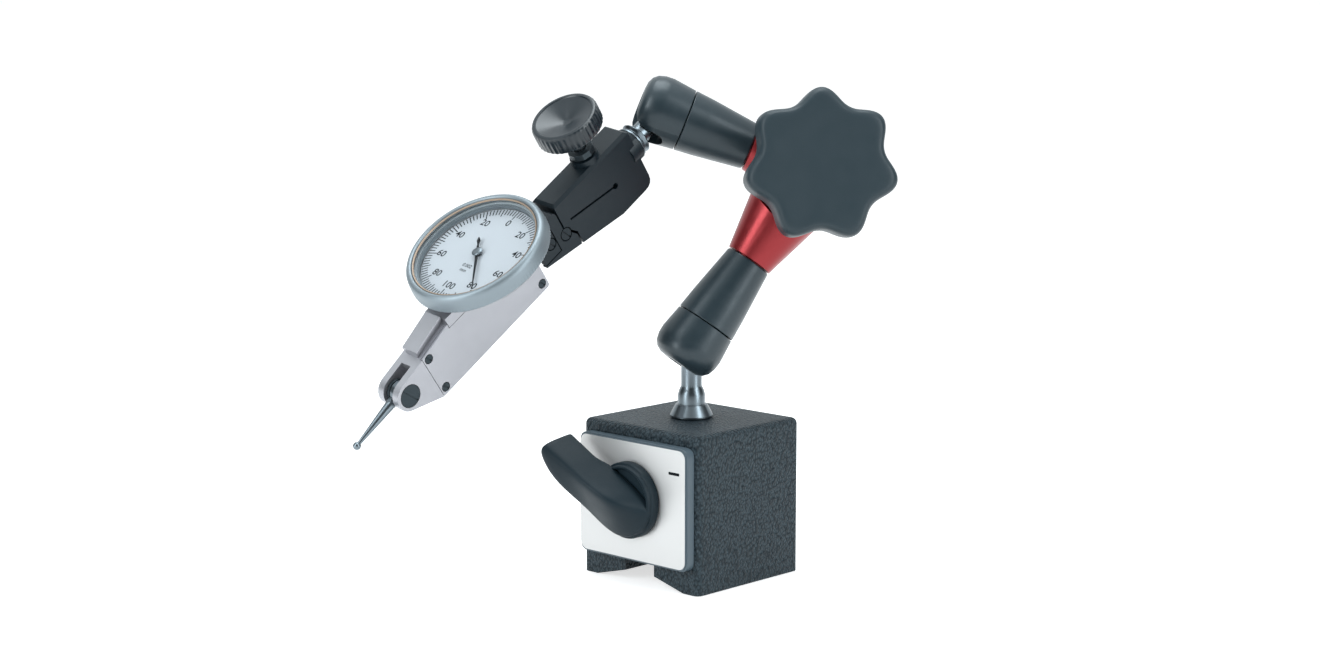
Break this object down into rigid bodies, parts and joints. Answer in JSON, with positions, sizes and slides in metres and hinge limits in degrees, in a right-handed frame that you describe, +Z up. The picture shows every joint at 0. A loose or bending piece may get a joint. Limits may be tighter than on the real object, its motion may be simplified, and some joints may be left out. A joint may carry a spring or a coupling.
{
  "type": "magnetic base",
  "caption": "Switchable magnetic base with a centrally locked articulated arm, a fine adjustment clamp and a lever type dial test indicator.",
  "frame": {"origin": "middle of the footprint of the whole instrument in the pose of the picture, on the plane of the magnet's sole", "axes": "+Z up, -Y is the way the magnet's front plate and switch lever face, +X to the right seen from the front"},
  "size_m": [0.0862, 0.1382, 0.1325],
  "materials": {
    "base_paint": "hammertone paint",
    "brass": "satin",
    "steel": "satin",
    "dark_steel": "blackened",
    "magnet": "plain",
    "plate_metal": "bright silver",
    "black_plastic": "satin black",
    "knob_plastic": "gloss black",
    "black_metal": "black anodised",
    "red_metal": "red anodised",
    "satin_chrome": "satin chrome",
    "dial_white": "matt white",
    "needle_black": "black",
    "clear_glass": "clear"
  },
  "bodies": {
    "base": {"pole_left": "base_paint", "pole_right": "base_paint", "spacer_top": "brass", "spacer_bottom": "brass", "rear_plug": "dark_steel", "front_plate": "plate_metal", "detent_ball": "steel", "detent_spring": "steel", "lower_stud": "steel"},
    "switch": {"switch_lever": "black_plastic", "switch_shaft": "steel", "rotor_magnet": "magnet"},
    "lower_joint_ball": {"lower_ball": "steel"},
    "lower_joint_cap": {"lower_cap": "black_metal"},
    "lower_arm": {"lower_sleeve": "black_metal", "lower_hub": "red_metal", "lower_pressure_pad": "brass", "lower_push_rod": "steel", "lower_thrust_pin": "steel", "elbow_spindle": "steel", "elbow_wedge": "brass", "thrust_washer": "steel", "spring_washer": "dark_steel"},
    "knob": {"star_knob": "black_plastic", "knob_insert": "brass"},
    "upper_arm": {"upper_sleeve": "black_metal", "upper_hub": "red_metal", "upper_pressure_pad": "brass", "upper_push_rod": "steel", "upper_thrust_pin": "steel"},
    "upper_joint_cap": {"upper_cap": "black_metal"},
    "upper_joint_ball": {"upper_ball": "steel"},
    "wrist": {"wrist_stud": "steel", "clamp_body": "black_metal", "fine_lock_nut": "dark_steel"},
    "fine_adjuster": {"fine_knob": "knob_plastic", "fine_screw": "steel"},
    "indicator": {"clamp_lever": "black_metal", "clamp_jaw": "black_metal", "jaw_screw": "dark_steel", "lever_pivot": "dark_steel", "indicator_body": "satin_chrome", "side_cover": "satin_chrome", "cover_screw_1": "dark_steel", "cover_screw_2": "dark_steel", "cover_screw_3": "dark_steel", "dial_case": "satin_chrome", "pivot_screw_front": "dark_steel", "pivot_screw_back": "dark_steel"},
    "dial_ring": {"bezel": "satin_chrome", "crystal": "clear_glass", "dial_plate": "dial_white"},
    "pointer": {"needle": "needle_black"},
    "rocker": {"stylus_rocker": "dark_steel"},
    "feeler": {"stylus": "steel"}
  },
  "joints": [
    {"name": "switch_turn", "type": "hinge", "parent": "base", "child": "switch", "pos_m": [-0.00492, 0.0247, 0.0232], "axis": [0, -1, 0], "range_deg": [-122, 0]},
    {"name": "lower_swivel", "type": "hinge", "parent": "base", "child": "lower_joint_ball", "pos_m": [-0.00492, 0.0247, 0.0618], "axis": [0, 0, 1], "continuous": true},
    {"name": "lower_tilt", "type": "hinge", "parent": "lower_joint_ball", "child": "lower_joint_cap", "pos_m": [-0.00492, 0.0247, 0.0618], "axis": [-0.8704, 0.4923, 0], "range_deg": [-36, 48]},
    {"name": "lower_twist", "type": "hinge", "parent": "lower_joint_cap", "child": "lower_arm", "pos_m": [-0.00492, 0.0247, 0.0618], "axis": [0.2906, 0.5138, 0.8072], "range_deg": [-180, 140]},
    {"name": "knob_turn", "type": "hinge", "parent": "lower_arm", "child": "knob", "pos_m": [0.01139, 0.05353, 0.10708], "axis": [0.734, -0.6609, 0.1565], "range_deg": [0, 270]},
    {"name": "elbow_turn", "type": "hinge", "parent": "lower_arm", "child": "upper_arm", "pos_m": [0.01139, 0.05353, 0.10708], "axis": [0.734, -0.6609, 0.1565], "range_deg": [-213, 8]},
    {"name": "upper_twist", "type": "hinge", "parent": "upper_arm", "child": "upper_joint_cap", "pos_m": [-0.01693, 0.02588, 0.12312], "axis": [0.6631, 0.6475, -0.3756], "continuous": true},
    {"name": "upper_tilt", "type": "hinge", "parent": "upper_joint_cap", "child": "upper_joint_ball", "pos_m": [-0.01693, 0.02588, 0.12312], "axis": [-0.7386, 0.4845, -0.4687], "range_deg": [-20, 68]},
    {"name": "wrist_spin", "type": "hinge", "parent": "upper_joint_ball", "child": "wrist", "pos_m": [-0.01693, 0.02588, 0.12312], "axis": [-0.1185, -0.7778, -0.6172], "continuous": true},
    {"name": "fine_adjust", "type": "hinge", "parent": "wrist", "child": "indicator", "pos_m": [-0.02252, -0.00839, 0.09351], "axis": [0.9879, -0.0299, -0.1521], "range_deg": [-1.5, 1.5]},
    {"name": "fine_knob_turn", "type": "hinge", "parent": "wrist", "child": "fine_adjuster", "pos_m": [-0.0184, -0.00689, 0.11998], "axis": [0.0999, -0.6278, 0.7719], "range_deg": [-340, 340]},
    {"name": "bezel_turn", "type": "hinge", "parent": "indicator", "child": "dial_ring", "pos_m": [-0.02381, -0.0347, 0.09029], "axis": [0.0999, -0.6278, 0.7719], "continuous": true},
    {"name": "feeler_swing", "type": "hinge", "parent": "indicator", "child": "rocker", "pos_m": [-0.0297, -0.05553, 0.0561], "axis": [0.9879, -0.0299, -0.1521], "range_deg": [-0.32, 0.32], "stiffness_Nm_per_rad": 0.02, "springref_deg": -0.18},
    {"name": "feeler_set", "type": "hinge", "parent": "rocker", "child": "feeler", "pos_m": [-0.0297, -0.05553, 0.0561], "axis": [0.9879, -0.0299, -0.1521], "range_deg": [-100, 100]},
    {"name": "pointer_turn", "type": "hinge", "parent": "indicator", "child": "pointer", "pos_m": [-0.02381, -0.0347, 0.09029], "axis": [0.0999, -0.6278, 0.7719], "range_deg": [-185, 185]}
  ],
  "couplings": [
    {"joint": "fine_knob_turn", "follows": "fine_adjust", "ratio": 226.19},
    {"joint": "pointer_turn", "follows": "feeler_swing", "ratio": -556.06}
  ]
}
